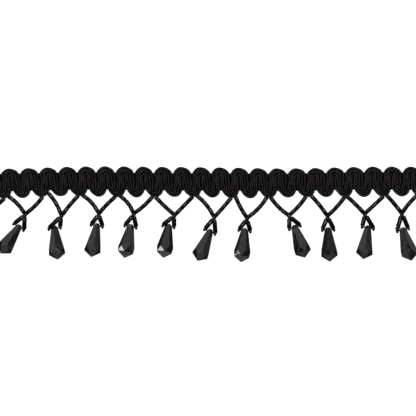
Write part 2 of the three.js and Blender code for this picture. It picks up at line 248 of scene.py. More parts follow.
# The drop's rings along its axis, from the head to the tip
DROP_SIDES = 6
DROP_RINGS = [
    {"at": 0.0, "radius": 1.1, "turn": 0},
    {"at": 1.9, "radius": 2.0, "turn": 0},
    {"at": 11.7, "radius": 4.17, "turn": 0},
    {"at": 14.4, "radius": 4.2, "turn": -30},
]
DROP_LENGTH = 17.3

# Triangles that lie in one plane, within this angle in radians, make one facet. Edges between facets are
# rounded by a narrow bevel.
FLAT_FACET = 0.01
FACET_BEVEL = 0.07
FACET_ANGLE = math.radians(5)

# The hole across the drop's head, below its top
HOLE_DEPTH = 1.1
HOLE_RADIUS = 0.42
HOLE_LENGTH = 4.4
HOLE_SIDES = 16

# The stage's table and the nearest thing that the camera shows, in metres
TABLE_SIZE = 8
CAMERA_NEAR = 0.01


def measure(name, description, default):
    """A size in metres, shown to a hundredth of a millimetre."""
    return FloatProperty(name=name, description=description, default=default, unit="LENGTH", precision=5)


def paint(name, description, default):
    return FloatVectorProperty(name=name, description=description, default=default, subtype="COLOR")


def amount(name, description, default):
    return FloatProperty(name=name, description=description, default=default)


class BraidSettings(bpy.types.PropertyGroup):
    scallops: IntProperty(name="Scallops", description="Number of lower scallops", default=25, min=2)
    lower_pitch: measure("Lower pitch", "From one lower scallop to the next", 0.009465)
    upper_pitch: measure("Upper pitch", "From one upper scallop to the next", 0.00955)
    upper_shift: measure("Upper shift", "From the first lower bend to the first upper one", 0.0033)
    half_core: measure("Half core", "From the middle line to the notches", 0.00438)
    upper_radius: measure("Upper radius", "Radius of the upper scallops", 0.00495)
    lower_radius: measure("Lower radius", "Radius of the lower scallops", 0.0048)
    upper_rise: measure("Upper rise", "An upper scallop's peak beyond its notches", 0.00285)
    lower_rise: measure("Lower rise", "A lower scallop's peak beyond its notches", 0.00305)
    cord_width: measure("Cord width", "Thickness of one gimp cord", 0.00126)
    wrap_pitch: measure("Wrap pitch", "Width of one turn of the thread round a cord", 0.0003)
    colour: paint("Gimp colour", "Colour of the gimp", (0.0034, 0.0029, 0.0038))


class FringeSettings(bpy.types.PropertyGroup):
    bugle_width: measure("Bugle width", "Thickness of the bugle beads of the legs", 0.00215)
    loop_bugle_width: measure("Loop bugle width", "Thickness of the bugle beads of the loops", 0.0023)
    bugle_length: measure("Bugle length", "Length of a bugle bead before it is fitted to its place", 0.004)
    bead_gap: measure("Bead gap", "Bare thread between two beads", 0.00002)
    seed_width: measure("Seed width", "Thickness of the seed beads", 0.00225)
    thread_width: measure("Thread width", "Thickness of the doubled thread", 0.0009)
    bead_colour: paint("Bead colour", "Colour of the glass beads", (0.0035, 0.0032, 0.0037))
    drop_colour: paint("Drop colour", "Colour of the drops", (0.009, 0.0084, 0.0094))


class StageSettings(bpy.types.PropertyGroup):
    lens: amount("Lens", "Focal length of the camera", 120.0)
    frame_width: measure("Frame width", "Width of table that the camera sees", 0.208)
    aim_right: measure("Aim right", "Camera's aim, right of the part's origin", 0.00803)
    aim_up: measure("Aim up", "Camera's aim, above the part's origin", 0.003051)
    table_colour: paint("Table colour", "Colour of the table", (0.5, 0.5, 0.5))
    table_glow: amount("Table glow", "Light that the table gives off", 0.93)
    overhead: amount("Overhead box", "Brightness of the overhead soft box", 0.85)
    top_lamp: amount("Top lamp", "Brightness of the small lamp above the camera", 18.0)
    left_screen: amount("Left screen", "Brightness of the screen behind, left", 0.85)
    right_screen: amount("Right screen", "Brightness of the screen on the right", 0.3)
    front_screen: amount("Front screen", "Brightness of the screen in front", 0.6)
    side_lamp: amount("Side lamp", "Brightness of the small lamp on the left", 17.0)
    room: amount("Room", "Brightness of the room", 0.04)


# Shader maths


class Value:
    """A shader socket that takes part in Python arithmetic by adding Math nodes."""

    def __init__(self, finish, socket):
        self.finish = finish
        self.socket = socket

    def maths(self, operation, *values):
        inputs = dict(enumerate(values))
        return self.finish.node("ShaderNodeMath", {"operation": operation}, inputs)

    def __add__(self, other):
        return self.maths("ADD", self, other)

    __radd__ = __add__

    def __mul__(self, other):
        return self.maths("MULTIPLY", self, other)

    __rmul__ = __mul__

    def __truediv__(self, other):
        return self.maths("DIVIDE", self, other)

    def __rtruediv__(self, other):
        return self.maths("DIVIDE", other, self)

    def ridges(self):
        """The sine of the value, raised to run from 0 to 1."""
        return self.maths("SINE", self) * 0.5 + 0.5

    def axis(self, name):
        """How far a place lies along X, Y or Z."""
        return self.finish.node("ShaderNodeSeparateXYZ", None, {0: self}, output=name)


class Finish:
    """A new material with a Principled surface."""

    def __init__(self, name, **constants):
        self.material = bpy.data.materials.new(name)
        self.material.use_nodes = True
        self.tree = self.material.node_tree
        self.surface = self.tree.nodes["Principled BSDF"]
        for key, value in constants.items():
            self.surface.inputs[key.replace("_", " ")].default_value = value

    def node(self, kind, settings=None, inputs=None, output=0):
        """Adds a node, with its settings first and then the values or links of its sockets."""
        made = self.tree.nodes.new(kind)
        for key, value in (settings or {}).items():
            if key == "stops":
                self.set_stops(made.color_ramp, value)
            else:
                setattr(made, key, value)
        for key, value in (inputs or {}).items():
            if isinstance(value, Value):
                self.tree.links.new(value.socket, made.inputs[key])
            else:
                made.inputs[key].default_value = value
        return Value(self, made.outputs[output])

    def set_stops(self, ramp, stops):
        """Sets a ramp's two stops."""
        for element, (place, shade) in zip(ramp.elements, stops):
            element.position = place
            element.color = (*shade, 1)

    def feed(self, name, value):
        self.tree.links.new(value.socket, self.surface.inputs[name])

    def place(self):
        """Where a point of the piece lies in the part's frame."""
        return self.node("ShaderNodeTexCoord", output="Object")

    def noise(self, place, scale, detail):
        """A cloudy value from 0 to 1, with about as many clouds to the metre as the scale says."""
        return self.node("ShaderNodeTexNoise", None, {"Vector": place, "Scale": scale, "Detail": detail})

    def tones(self, value, colour, dark, light):
        """Feeds the colour, from a dark to a light tone: each is a stop on the value and a brightness."""
        stops = [(place, tuple(part * brightness for part in colour)) for place, brightness in (dark, light)]
        self.feed("Base Color", self.node("ShaderNodeValToRGB", {"stops": stops}, {"Fac": value}))

    def roughen(self, value, smoothest, roughest):
        self.feed("Roughness", smoothest + value * (roughest - smoothest))

    def bump(self, height, depth, strength, under=None):
        inputs = {"Height": height, "Distance": depth, "Strength": strength}
        if under is not None:
            inputs["Normal"] = under
        return self.node("ShaderNodeBump", None, inputs)

    def paint_edge_shade(self, start, end, most):
        """Paints shade on the steep sides: where the piece turns away from the eye, its gloss gives way to a
        flat black surface, so edges go dark instead of reflecting the bright table.
        """
        edge_shade_inputs = {"Base Color": EDGE_SHADE_BLACK, "Roughness": 1, "Specular IOR Level": 0}
        edge_shade = self.node("ShaderNodeBsdfPrincipled", None, edge_shade_inputs)
        facing = self.node("ShaderNodeLayerWeight", None, {"Blend": 0.5}, output="Facing")
        stops = [(start, (0, 0, 0)), (end, (most, most, most))]
        share = self.node("ShaderNodeValToRGB", {"stops": stops}, {"Fac": facing})
        glossy = Value(self, self.surface.outputs[0])
        mixed = self.node("ShaderNodeMixShader", None, {0: share, 1: glossy, 2: edge_shade})
        self.tree.links.new(mixed.socket, self.tree.nodes["Material Output"].inputs["Surface"])


def gimp_finish(name, colour, wraps):
    """Thread wound closely round a cord: turns across the run, with a soft sheen."""
    finish = Finish(name, Specular_IOR_Level=0.46, Specular_Tint=(1.0, 0.87, 1.0, 1.0))
    uv = finish.node("ShaderNodeTexCoord", output="UV")
    turns = ((uv.axis("X") + uv.axis("Y") / wraps) * (TURN * wraps)).ridges()
    place = finish.place()
    lumps = finish.noise(place, scale=1100, detail=2)
    fibres = finish.noise(place, scale=6000, detail=1)
    fibre_share = 0.3
    relief = turns * (1 - fibre_share) + fibres * fibre_share
    # The colour follows the turns: painted shade in the grooves between them and a painted highlight on their
    # crests, with a random tone from the fibres
    finish.tones(relief, colour, dark=(0.2, 0.35), light=(0.8, 1.6))
    finish.roughen(lumps, smoothest=0.27, roughest=0.42)
    soft = finish.bump(lumps, depth=0.08 * MM, strength=0.6)
    finish.feed("Normal", finish.bump(turns, depth=0.05 * MM, strength=0.7, under=soft))
    # Painted shade: towards their edges the cords go flat black instead of reflecting the bright table
    finish.paint_edge_shade(start=0.02, end=0.2, most=0.97)
    return finish.material


def thread_finish(name, colour):
    """Twisted sewing thread."""
    finish = Finish(name, Roughness=0.6, Specular_IOR_Level=0.12)
    fibres = finish.noise(finish.place(), scale=5000, detail=2)
    finish.tones(fibres, colour, dark=(0.3, 0.5), light=(0.7, 1.5))
    finish.feed("Normal", finish.bump(fibres, depth=0.06 * MM, strength=0.8))
    return finish.material


def ground_finish(name, colour):
    """Close threads that lie across the braid, behind its legs."""
    finish = Finish(name, Roughness=0.8, Specular_IOR_Level=0.2)
    rows = (finish.place().axis("Y") * (TURN / (GROUND_THREAD_PITCH * MM))).ridges()
    # The colour follows the rows: painted shade in the grooves between the threads
    finish.tones(rows, colour, dark=(0, 0.2), light=(1, 0.8))
    finish.feed("Normal", finish.bump(rows, depth=0.08 * MM, strength=0.8))
    return finish.material


def glass_finish(name, colour):
    """Opaque black glass tube, glossy and a little uneven."""
    finish = Finish(name, Roughness=0.08, Specular_IOR_Level=0.42)
    ripple = finish.noise(finish.place(), scale=900, detail=1)
    finish.tones(ripple, colour, dark=(0.35, 0.7), light=(0.65, 1.5))
    finish.feed("Normal", finish.bump(ripple, depth=0.22 * MM, strength=0.6))
    # Painted shade: towards their edges the beads go flat black instead of reflecting the bright table
    finish.paint_edge_shade(start=0.05, end=0.32, most=0.95)
    return finish.material


def acrylic_finish(name, colour):
    """Moulded black acrylic with polished facets and faint streaks along the drops."""
    finish = Finish(name, IOR=1.49, Specular_IOR_Level=0.5, Specular_Tint=(0.97, 0.93, 1.0, 1.0))
    place = finish.place()
    sink = finish.noise(place, scale=260, detail=1)
    wear = finish.noise(place, scale=2600, detail=2)
    streak_stretch = (1, 0.25, 1)
    drawn = finish.node("ShaderNodeVectorMath", {"operation": "MULTIPLY"}, {0: place, 1: streak_stretch})
    streaks = finish.noise(drawn, scale=900, detail=2)
    finish.tones(streaks, colour, dark=(0.35, 0.05), light=(0.65, 2.6))
    finish.roughen(wear, smoothest=0.06, roughest=0.16)
    finish.feed("Normal", finish.bump(sink, depth=0.3 * MM, strength=0.35))
    # Painted shade: the drops' steep facets go flat black instead of reflecting the bright table
    finish.paint_edge_shade(start=0.3, end=0.5, most=0.94)
    return finish.material


def table_finish(name, colour, glow):
    """A pale board with a fine grain, which gives off an even light of its own."""
    finish = Finish(name, Roughness=0.9, Specular_IOR_Level=0.1, Emission_Strength=glow, Emission_Color=WHITE)
    grain = finish.noise(finish.place(), scale=400, detail=2)
    finish.tones(grain, colour, dark=(0, 0.98), light=(1, 1.02))
    return finish.material


# Making and finishing pieces


def deselect():
    """Nothing selected, in object mode."""
    if bpy.context.object and bpy.context.object.mode != "OBJECT":
        bpy.ops.object.mode_set(mode="OBJECT")
    bpy.ops.object.select_all(action="DESELECT")


def activate(*objects):
    """Some objects selected and no others, with the first of them active."""
    deselect()
    for thing in objects:
        thing.select_set(True)
    bpy.context.view_layer.objects.active = objects[0]


def start_edit(thing, face_test=None):
    """Edit mode on one object with the faces chosen by a test, or all of them."""
    activate(thing)
    bpy.context.tool_settings.mesh_select_mode = (False, False, True)
    bpy.ops.object.mode_set(mode="EDIT")
    bpy.ops.mesh.select_all(action="SELECT" if face_test is None else "DESELECT")
    if face_test is not None:
        bpy.ops.object.mode_set(mode="OBJECT")
        for face in thing.data.polygons:
            face.select = face_test(face)
        bpy.ops.object.mode_set(mode="EDIT")


def end_edit():
    bpy.ops.object.mode_set(mode="OBJECT")


def apply_modifier(thing, modifier):
    activate(thing)
    bpy.ops.object.modifier_apply(modifier=modifier.name)


def round_edges(thing, width, angle):
    """Rounds every edge that is sharper than an angle."""
    bevel = thing.modifiers.new("rounding", "BEVEL")
    bevel.width = width
    bevel.segments = EDGE_STEPS
    bevel.limit_method = "ANGLE"
    bevel.angle_limit = angle
    apply_modifier(thing, bevel)


def settle(thing, name, material, smooth=True):
    """Gives a piece its name and finish, puts its place into its mesh, and lets it ride on the body."""
    activate(thing)
    bpy.ops.object.transform_apply(location=True, rotation=True, scale=True)
    if smooth:
        bpy.ops.object.shade_smooth_by_angle(angle=SMOOTH_ANGLE)
    thing.name = name
    thing.data.name = name
    thing.data.materials.clear()
    thing.data.materials.append(material)
    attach(thing, BODY)
    return thing


def in_frame(point):
    """A point measured from the braid's middle line in millimetres, in the part's frame in metres."""
    return (Vector(point) + MIDDLE_LINE) * MM


def tube(name, runs, width, sides, swell=None):
    """A mesh tube along each run of points, closed at its ends, with an even number of sides."""
    curve = bpy.data.curves.new(name, "CURVE")
    curve.dimensions = "3D"
    curve.twist_mode = "Z_UP"
    curve.use_fill_caps = True
    curve.bevel_depth = width / 2 * MM
    # A resolution of 0 gives a square section, and each step up adds two sides
    curve.bevel_resolution = (sides - 4) // 2
    for run in runs:
        spline = curve.splines.new("POLY")
        spline.points.add(len(run) - 1)
        for index, (point, place) in enumerate(zip(spline.points, run)):
            point.co = (*in_frame(place), 1)
            point.radius = swell(index) if swell else 1
    thing = bpy.data.objects.new(name, curve)
    bpy.context.collection.objects.link(thing)
    activate(thing)
    bpy.ops.object.convert(target="MESH")
    thing = bpy.context.object
    start_edit(thing)
    bpy.ops.mesh.remove_doubles(threshold=MERGE_DISTANCE)
    bpy.ops.mesh.normals_make_consistent(inside=False)
    end_edit()
    return thing


def copy_of(thing):
    """A copy with its own mesh."""
    twin = thing.copy()
    twin.data = thing.data.copy()
    bpy.context.collection.objects.link(twin)
    return twin


def joined(things):
    """One piece of many, with the place of each in its mesh."""
    activate(*things)
    bpy.ops.object.transform_apply(location=True, rotation=True, scale=True)
    bpy.ops.object.join()
    return bpy.context.object


def smooth_run(points, step):
    """Points at an even step on a smooth curve through the given ones."""
    fine = []
    last = len(points) - 1
    for index in range(last):
        before = points[max(index - 1, 0)]
        start = points[index]
        end = points[index + 1]
        after = points[min(index + 2, last)]
        leaving = (end - before) / 2
        arriving = (after - start) / 2
        pieces = max(1, math.ceil((end - start).length / step * 2))
        for piece in range(pieces):
            t = piece / pieces
            fine.append(
                start * (2 * t**3 - 3 * t**2 + 1)
                + leaving * (t**3 - 2 * t**2 + t)
                + end * (3 * t**2 - 2 * t**3)
                + arriving * (t**3 - t**2)
            )
    fine.append(points[-1])
    even = [fine[0]]
    walked = 0.0
    for start, end in zip(fine, fine[1:]):
        length = (end - start).length
        while length and walked + length >= step:
            share = (step - walked) / length
            start = start.lerp(end, share)
            length *= 1 - share
            walked = 0.0
            even.append(start)
        walked += length
    even.append(fine[-1])
    return even


# The braid's shape


def wave_at(x, waves):
    """The height of the slow waves, all together, at one place along the braid."""
    return sum(wave["height"] * math.cos(TURN * (x - wave["crest"]) / wave["length"]) for wave in waves)


class Bend:
    """One scallop of the upper or the lower edge: where its middle lies and how far it reaches."""

    def __init__(self, sizes, number, side):
        first = -(sizes.scallops - 1) / 2 * sizes.lower_pitch
        if side == UPPER:
            self.x = (first + sizes.upper_shift + number * sizes.upper_pitch) / MM
            rest = (sizes.half_core + sizes.upper_rise - sizes.upper_radius) / MM
            self.radius = sizes.upper_radius / MM + wave_at(self.x, UPPER_WAVES)
        else:
            self.x = (first + number * sizes.lower_pitch) / MM
            rest = (sizes.lower_radius - sizes.lower_rise - sizes.half_core) / MM
            self.radius = sizes.lower_radius / MM + wave_at(self.x, LOWER_WAVES)
        self.y = rest + wave_at(self.x, MIDDLE_WAVES)


def share_between(value, low, high):
    """Where a value lies between two others, from 0 to 1."""
    return min(max((value - low) / (high - low), 0), 1)


def cord_point(sizes, number, point):
    """A point of a cord's repeat at one lower scallop, moved with its bends and with the braid's waves."""
    right, up, level = point
    lower = Bend(sizes, number, LOWER)
    upper = Bend(sizes, number if right > 0 else number - 1, UPPER)
    repeat = 0 if right > 0 else (sizes.lower_pitch + sizes.upper_pitch) / 2 / MM
    share = share_between(up, -BEND_BLEND, BEND_BLEND)
    x = lower.x * (1 - share) + (upper.x - sizes.upper_shift / MM + repeat) * share + right
    edge = sizes.half_core / MM
    y = up + wave_at(x, MIDDLE_WAVES)
    y += wave_at(x, UPPER_WAVES) * share_between(up, REACH_START, edge + sizes.upper_rise / MM)
    y -= wave_at(x, LOWER_WAVES) * share_between(-up, REACH_START, edge + sizes.lower_rise / MM)
    return Vector((x, y, LOWEST_CORD + (level - LOWEST_CORD) * RELIEF))


def cut_end(point, cut):
    """Where a cord that runs up from a point of its path is cut off."""
    right, up, level = point
    return right - (cut - up) * CUT_LEAN, cut, level


def cord_run(sizes, path):
    """One cord's whole run, cut off level with the upper notches at both ends."""
    cut = sizes.half_core / MM
    points = []
    for number in range(sizes.scallops):
        repeat = path
        if number == 0:
            kept = [(right, up, level) for right, up, level in repeat if right > 0 or up < CUT_FROM]
            repeat = [cut_end(kept[0], cut), *kept]
        if number == sizes.scallops - 1:
            kept = [(right, up, level) for right, up, level in repeat if right < 0 or up < CUT_FROM]
            repeat = [*kept, cut_end(kept[-1], cut)]
        points += [cord_point(sizes, number, point) for point in repeat]
    return smooth_run(points, CORD_STEP)


def cord_swell(step):
    """A cord's thickness at one step of its run, against its mean thickness."""
    return sum((lump["depth"] * math.sin(step * lump["beat"]) for lump in CORD_LUMPS), 1)


def scallop_edge(sizes, x, side):
    """Where the ground ends above or below one place of the braid: at the notches, or inside a scallop."""
    edge = sizes.half_core / MM
    for number in range(-1, sizes.scallops + 1):
        bend = Bend(sizes, number, side)
        reach = bend.radius - GROUND_MARGIN
        if abs(x - bend.x) < reach:
            height = side * (bend.y - wave_at(x, MIDDLE_WAVES)) + math.sqrt(reach**2 - (x - bend.x) ** 2)
            edge = max(edge, height)
    return side * edge + wave_at(x, MIDDLE_WAVES)


def binding_run(runs, height, radius):
    """A thread that passes over every cord at one height of the braid and dips between them."""
    tops = []
    for run in runs:
        for start, end in zip(run, run[1:]):
            line = height + wave_at(start.x, MIDDLE_WAVES)
            steep = abs(end.x - start.x) < abs(end.y - start.y)
            if steep and (start.y - line) * (end.y - line) < 0:
                share = (line - start.y) / (end.y - start.y)
                point = start.lerp(end, share)
                tops.append(point + Vector((0, 0, radius + BINDING_LIFT)))
    tops.sort(key=lambda point: point.x)
    points = [tops[0]]
    for start, end in zip(tops, tops[1:]):
        middle = start.lerp(end, 0.5)
        middle.z = min(start.z, end.z) - BINDING_DIP
        if end.x - start.x > radius:
            points.append(middle)
        points.append(end)
    return points


class TRIM_OT_cords(bpy.types.Operator):
    """Lay the braid's four gimp cords and the threads that bind them"""

    bl_idname = "trim.cords"
    bl_label = "Gimp cords"

    def execute(self, context):
        sizes = context.scene.trim_braid
        runs = [cord_run(sizes, path) for path in CORD_PATHS]
        for number, run in enumerate(runs, 1):
            name = f"braid_cord_{number}"
            length = len(run) * CORD_STEP * MM
            finish = gimp_finish(f"gimp_{number}", sizes.colour, length / sizes.wrap_pitch)
            thing = tube(name, [run], sizes.cord_width / MM, CORD_SIDES, cord_swell)
            settle(thing, name, finish)
            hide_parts("gimp_braid")
        radius = sizes.cord_width / MM / 2
        threads = [binding_run(runs, height, radius) for height in BINDING_LINES]
        thing = tube("binding_threads", threads, BINDING_WIDTH, THREAD_SIDES)
        settle(thing, "binding_threads", thread_finish("binding_thread", sizes.colour))
        return {"FINISHED"}


class TRIM_OT_ground(bpy.types.Operator):
    """Weave the thin ground that lies behind the braid's legs"""

    bl_idname = "trim.ground"
    bl_label = "Ground"

    def execute(self, context):
        sizes = context.scene.trim_braid
        low = Bend(sizes, 0, LOWER).x - GROUND_OVERHANG
        high = Bend(sizes, sizes.scallops - 1, LOWER).x + GROUND_OVERHANG
        deselect()
        bpy.ops.mesh.primitive_grid_add(x_subdivisions=GROUND_COLUMNS, y_subdivisions=GROUND_ROWS, size=1)
        thing = bpy.context.object
        for vertex in thing.data.vertices:
            # The plain grid runs from minus a half to a half both ways
            along = vertex.co.x + 0.5
            across = vertex.co.y + 0.5
            x = low + along * (high - low)
            bottom, top = (scallop_edge(sizes, x, side) for side in (LOWER, UPPER))
            vertex.co = in_frame((x, bottom + across * (top - bottom), GROUND_LEVEL))
        solid = thing.modifiers.new("thickness", "SOLIDIFY")
        solid.thickness = GROUND_THICKNESS * MM
        solid.offset = 1
        apply_modifier(thing, solid)
        settle(thing, "braid_ground", ground_finish("ground_threads", sizes.colour))
        places = [low + (high - low) * step / GROUND_COLUMNS for step in range(GROUND_COLUMNS + 1)]
        widths = [scallop_edge(sizes, x, UPPER) - scallop_edge(sizes, x, LOWER) for x in places]
        flat = (max(widths) * MM, (high - low) * MM)
        cut_area = sum(widths) / len(widths) * MM * flat[1]
        return {"FINISHED"}


# The fringe's shape


def root_point(sizes, scallop, offset):
    """Where a leg starts, below the edge of its scallop."""
    bend = Bend(sizes, scallop, LOWER)
    reach = bend.radius + ROOT_GAP
    return Vector((bend.x + offset, bend.y - math.sqrt(reach**2 - offset**2), THREAD_LEVEL))


def reach_below(ring, roll):
    """How far a ring of the drop reaches below the axis, for facets rolled by some degrees."""
    side = 360 / DROP_SIDES
    # Without roll or turn, a ring has a corner straight to the right, a quarter turn from straight down
    off_corner = (90 + ring["turn"] + roll + side / 2) % side - side / 2
    return ring["radius"] * math.cos(math.radians(off_corner))


class Strand:
    """The places of one V of beads, its loop and its drop."""

    def __init__(self, sizes, number):
        row = DROPS[number]
        self.row = row
        self.scallops = (SCALLOPS_PER_DROP * number, SCALLOPS_PER_DROP * (number + 1))
        left, right = (Bend(sizes, scallop, LOWER) for scallop in self.scallops)
        middle = (left.x + right.x) / 2
        notch = -sizes.half_core / MM + wave_at(middle, MIDDLE_WAVES)
        self.crossing = Vector((middle + row["cross"][0], notch - row["cross"][1], THREAD_LEVEL))
        self.place = self.drop_place()
        hole = self.place @ Vector((0, -HOLE_DEPTH, 0))
        self.down = Vector((hole.x - self.crossing.x, hole.y - self.crossing.y, 0)).normalized()
        offsets = (row["left"], row["right"])
        self.roots = [root_point(sizes, scallop, offset) for scallop, offset in zip(self.scallops, offsets)]

    def drop_place(self):
        """The drop rests on its shoulder and on its widest rings, so its axis rises towards the tip."""
        shoulder, *wide = DROP_RINGS[1:]
        roll = self.row["roll"]
        low = reach_below(shoulder, roll)
        slopes = [(reach_below(ring, roll) - low) / (ring["at"] - shoulder["at"]) for ring in wide]
        pitch = math.atan(max(slopes))
        level = low * math.cos(pitch) - shoulder["at"] * math.sin(pitch)
        at = Vector((*self.crossing.xy, 0)) + Vector((*self.row["head"], level))
        turned = Matrix.Rotation(math.radians(self.row["tilt"]), 4, "Z") @ Matrix.Rotation(-pitch, 4, "X")
        return Matrix.Translation(at) @ turned

    def beside_head(self, reach, depth):
        """A place right of the drop's axis, and down along it from the head's top."""
        return self.place @ Vector((reach, -depth, 0))

    def leg_joints(self, side):
        """The ends of a leg's bugle beads; side is 0 for the left leg and 1 for the right one."""
        root = self.roots[side]
        along = (self.crossing - root).normalized()
        first = root - along * LEG_START
        last = self.crossing - along * CROSSING_SPREAD
        bow = self.row["bow"][side] * (1 if along.x > 0 else -1)
        bulge = Vector((-along.y, along.x, 0)) * bow
        shares = [joint / BUGLES_PER_LEG for joint in range(BUGLES_PER_LEG + 1)]
        return [first.lerp(last, share) + bulge * (1 - (2 * share - 1) ** 2) for share in shares]

    def loop_joints(self, side):
        """The ends of a bugle bead of the loop; side is -1 for the left one and 1 for the right one."""
        across = Vector((-self.down.y, self.down.x, 0)) * side * SHOULDER_REACH
        shoulder = self.crossing + self.down * SHOULDER_DROP + across
        if side > 0:
            shoulder.z += RIGHT_SHOULDER_LIFT
        elbow = self.beside_head(side * ELBOW_REACH, ELBOW_DEPTH)
        elbow.z = THREAD_LEVEL
        return [shoulder, elbow]


def strands(sizes):
    """The strands of the whole fringe, left to right."""
    return [Strand(sizes, number) for number in range(len(DROPS))]


def along_axis(start, end):
    """The turn and place that put a bead's own Z axis from start to end."""
    run = (end - start) * MM
    turned = run.to_track_quat("Z", "Y").to_matrix().to_4x4()
    return Matrix.Translation((in_frame(start) + in_frame(end)) / 2) @ turned


def bugle(width, length):
    """A glass tube, bored through, with rounded rims."""
    deselect()
    bpy.ops.mesh.primitive_cylinder_add(
        vertices=BUGLE_SIDES, radius=width / 2, depth=length, end_fill_type="NGON"
    )
    thing = bpy.context.object
    start_edit(thing, lambda face: abs(face.normal.z) > LOOKS_ALONG)
    bpy.ops.mesh.inset(thickness=width * BUGLE_WALL, depth=0)
    bpy.ops.mesh.bridge_edge_loops()
    end_edit()
    round_edges(thing, width * BUGLE_RIM, RIM_ANGLE)
    return thing


def seed(width):
    """A small round glass bead."""
    deselect()
    bpy.ops.mesh.primitive_torus_add(
        major_radius=width * SEED_RING,
        minor_radius=width * SEED_WALL,
        major_segments=SEED_SIDES,
        minor_segments=SEED_WALL_SIDES,
    )
    thing = bpy.context.object
    thing.scale.z = SEED_STRETCH
    activate(thing)
    bpy.ops.object.transform_apply(location=False, rotation=False, scale=True)
    return thing


def strung_bugle(bead, start, end, fringe):
    """A copy of a bugle bead from start to end, but for the bare thread between two beads."""
    gap = fringe.bead_gap / MM
    twin = copy_of(bead)
    pull = (end - start).normalized() * gap / 2
    twin.matrix_world = along_axis(start + pull, end - pull)
    twin.scale.z = ((end - start).length - gap) * MM / fringe.bugle_length
    return twin


def strung_seed(bead, centre, direction):
    """A copy of a seed bead with the thread running through it in one direction."""
    twin = copy_of(bead)
    twin.matrix_world = along_axis(centre - direction, centre + direction)
    return twin


class TRIM_OT_beads(bpy.types.Operator):
    """String the bugle beads and the seed beads"""

    bl_idname = "trim.beads"
    bl_label = "Beads"

    def execute(self, context):
        fringe = context.scene.trim_fringe
        leg_bead = bugle(fringe.bugle_width, fringe.bugle_length)
        loop_bead = bugle(fringe.loop_bugle_width, fringe.bugle_length)
        seed_bead = seed(fringe.seed_width)
        bugles = []
        seeds = []
        for strand in strands(context.scene.trim_braid):
            for side in (0, 1):
                joints = strand.leg_joints(side)
                bugles += [strung_bugle(leg_bead, *ends, fringe) for ends in zip(joints, joints[1:])]
            across = (strand.beside_head(1, 0) - strand.beside_head(-1, 0)).normalized()
            for side in (-1, 1):
                bugles.append(strung_bugle(loop_bead, *strand.loop_joints(side), fringe))
                centre = strand.beside_head(side * SEED_REACH, HOLE_DEPTH)
                seeds.append(strung_seed(seed_bead, centre, across))
            for fall in WAIST_SEEDS:
                centre = strand.crossing + strand.down * fall
                seeds.append(strung_seed(seed_bead, centre, strand.down))
        for bead in (leg_bead, loop_bead, seed_bead):
            bpy.data.objects.remove(bead)
        glass = glass_finish("black_glass", fringe.bead_colour)
        thing = settle(joined(bugles), "bugle_beads", glass)
        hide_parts("bead_strands")
        thing = settle(joined(seeds), "seed_beads", glass)
        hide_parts("bead_strands")
        return {"FINISHED"}


class TRIM_OT_thread(bpy.types.Operator):
    """Run the thread through the beads, and stitch it to the scallops"""

    bl_idname = "trim.thread"
    bl_label = "Thread"

    def execute(self, context):
        braid = context.scene.trim_braid
        fringe = context.scene.trim_fringe
        runs = []
        for strand in strands(braid):
            for side in (0, 1):
                root = strand.roots[side]
                bend = Bend(braid, strand.scallops[side], LOWER)
                out = (root - Vector((bend.x, bend.y, root.z))).normalized()
                edge = root - out * ROOT_GAP
                stitch = [edge + out * reach + Vector((0, 0, level - edge.z)) for reach, level in STITCH_PATH]
                runs.append([*reversed(stitch), *strand.leg_joints(side), strand.crossing])
            left, right = (strand.loop_joints(side) for side in (-1, 1))
            hole = [strand.beside_head(side * SEED_REACH, HOLE_DEPTH) for side in (-1, 1)]
            runs.append([strand.crossing, *left, *hole, *reversed(right), strand.crossing])
            runs.append([strand.crossing, strand.crossing + strand.down * SHOULDER_DROP])
        thing = tube("bead_thread", runs, fringe.thread_width / MM, THREAD_SIDES)
        settle(thing, "bead_thread", thread_finish("sewing_thread", fringe.bead_colour))
        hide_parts("bead_strands")
        return {"FINISHED"}


def drop_bead():
    """A six-sided teardrop, from its head at the origin down to its tip."""
    head, *rings = DROP_RINGS
    first = rings[0]
    length = first["at"] * MM
    deselect()
    bpy.ops.mesh.primitive_cone_add(
        vertices=DROP_SIDES,
        radius1=first["radius"] * MM,
        radius2=head["radius"] * MM,
        depth=length,
        location=(0, -length / 2, 0),
    )
    thing = bpy.context.object
    half_side = Matrix.Rotation(math.pi / DROP_SIDES, 4, "Z")
    thing.rotation_euler = (Matrix.Rotation(-QUARTER_TURN, 4, "X") @ half_side).to_euler()
    activate(thing)
    bpy.ops.object.transform_apply(location=True, rotation=True, scale=True)
    start_edit(thing, lambda face: face.normal.y < -LOOKS_ALONG)
    for last, ring in zip(rings, rings[1:]):
        middle = (0, -ring["at"] * MM, 0)
        down = (0, (last["at"] - ring["at"]) * MM, 0)
        bpy.ops.mesh.extrude_region_move(TRANSFORM_OT_translate={"value": down})
        grown = ring["radius"] / last["radius"]
        bpy.ops.transform.resize(value=(grown, 1, grown), center_override=middle)
        angle = math.radians(last["turn"] - ring["turn"])
        bpy.ops.transform.rotate(value=angle, orient_axis="Y", center_override=middle)
    to_tip = (0, (rings[-1]["at"] - DROP_LENGTH) * MM, 0)
    bpy.ops.mesh.extrude_region_move(TRANSFORM_OT_translate={"value": to_tip})
    bpy.ops.mesh.merge(type="CENTER")
    bpy.ops.mesh.select_all(action="SELECT")
    bpy.ops.mesh.quads_convert_to_tris(quad_method="SHORTEST_DIAGONAL", ngon_method="BEAUTY")
    bpy.ops.mesh.tris_convert_to_quads(face_threshold=FLAT_FACET, shape_threshold=TURN)
    bpy.ops.mesh.normals_make_consistent(inside=False)
    end_edit()
    round_edges(thing, FACET_BEVEL * MM, FACET_ANGLE)
    return thing


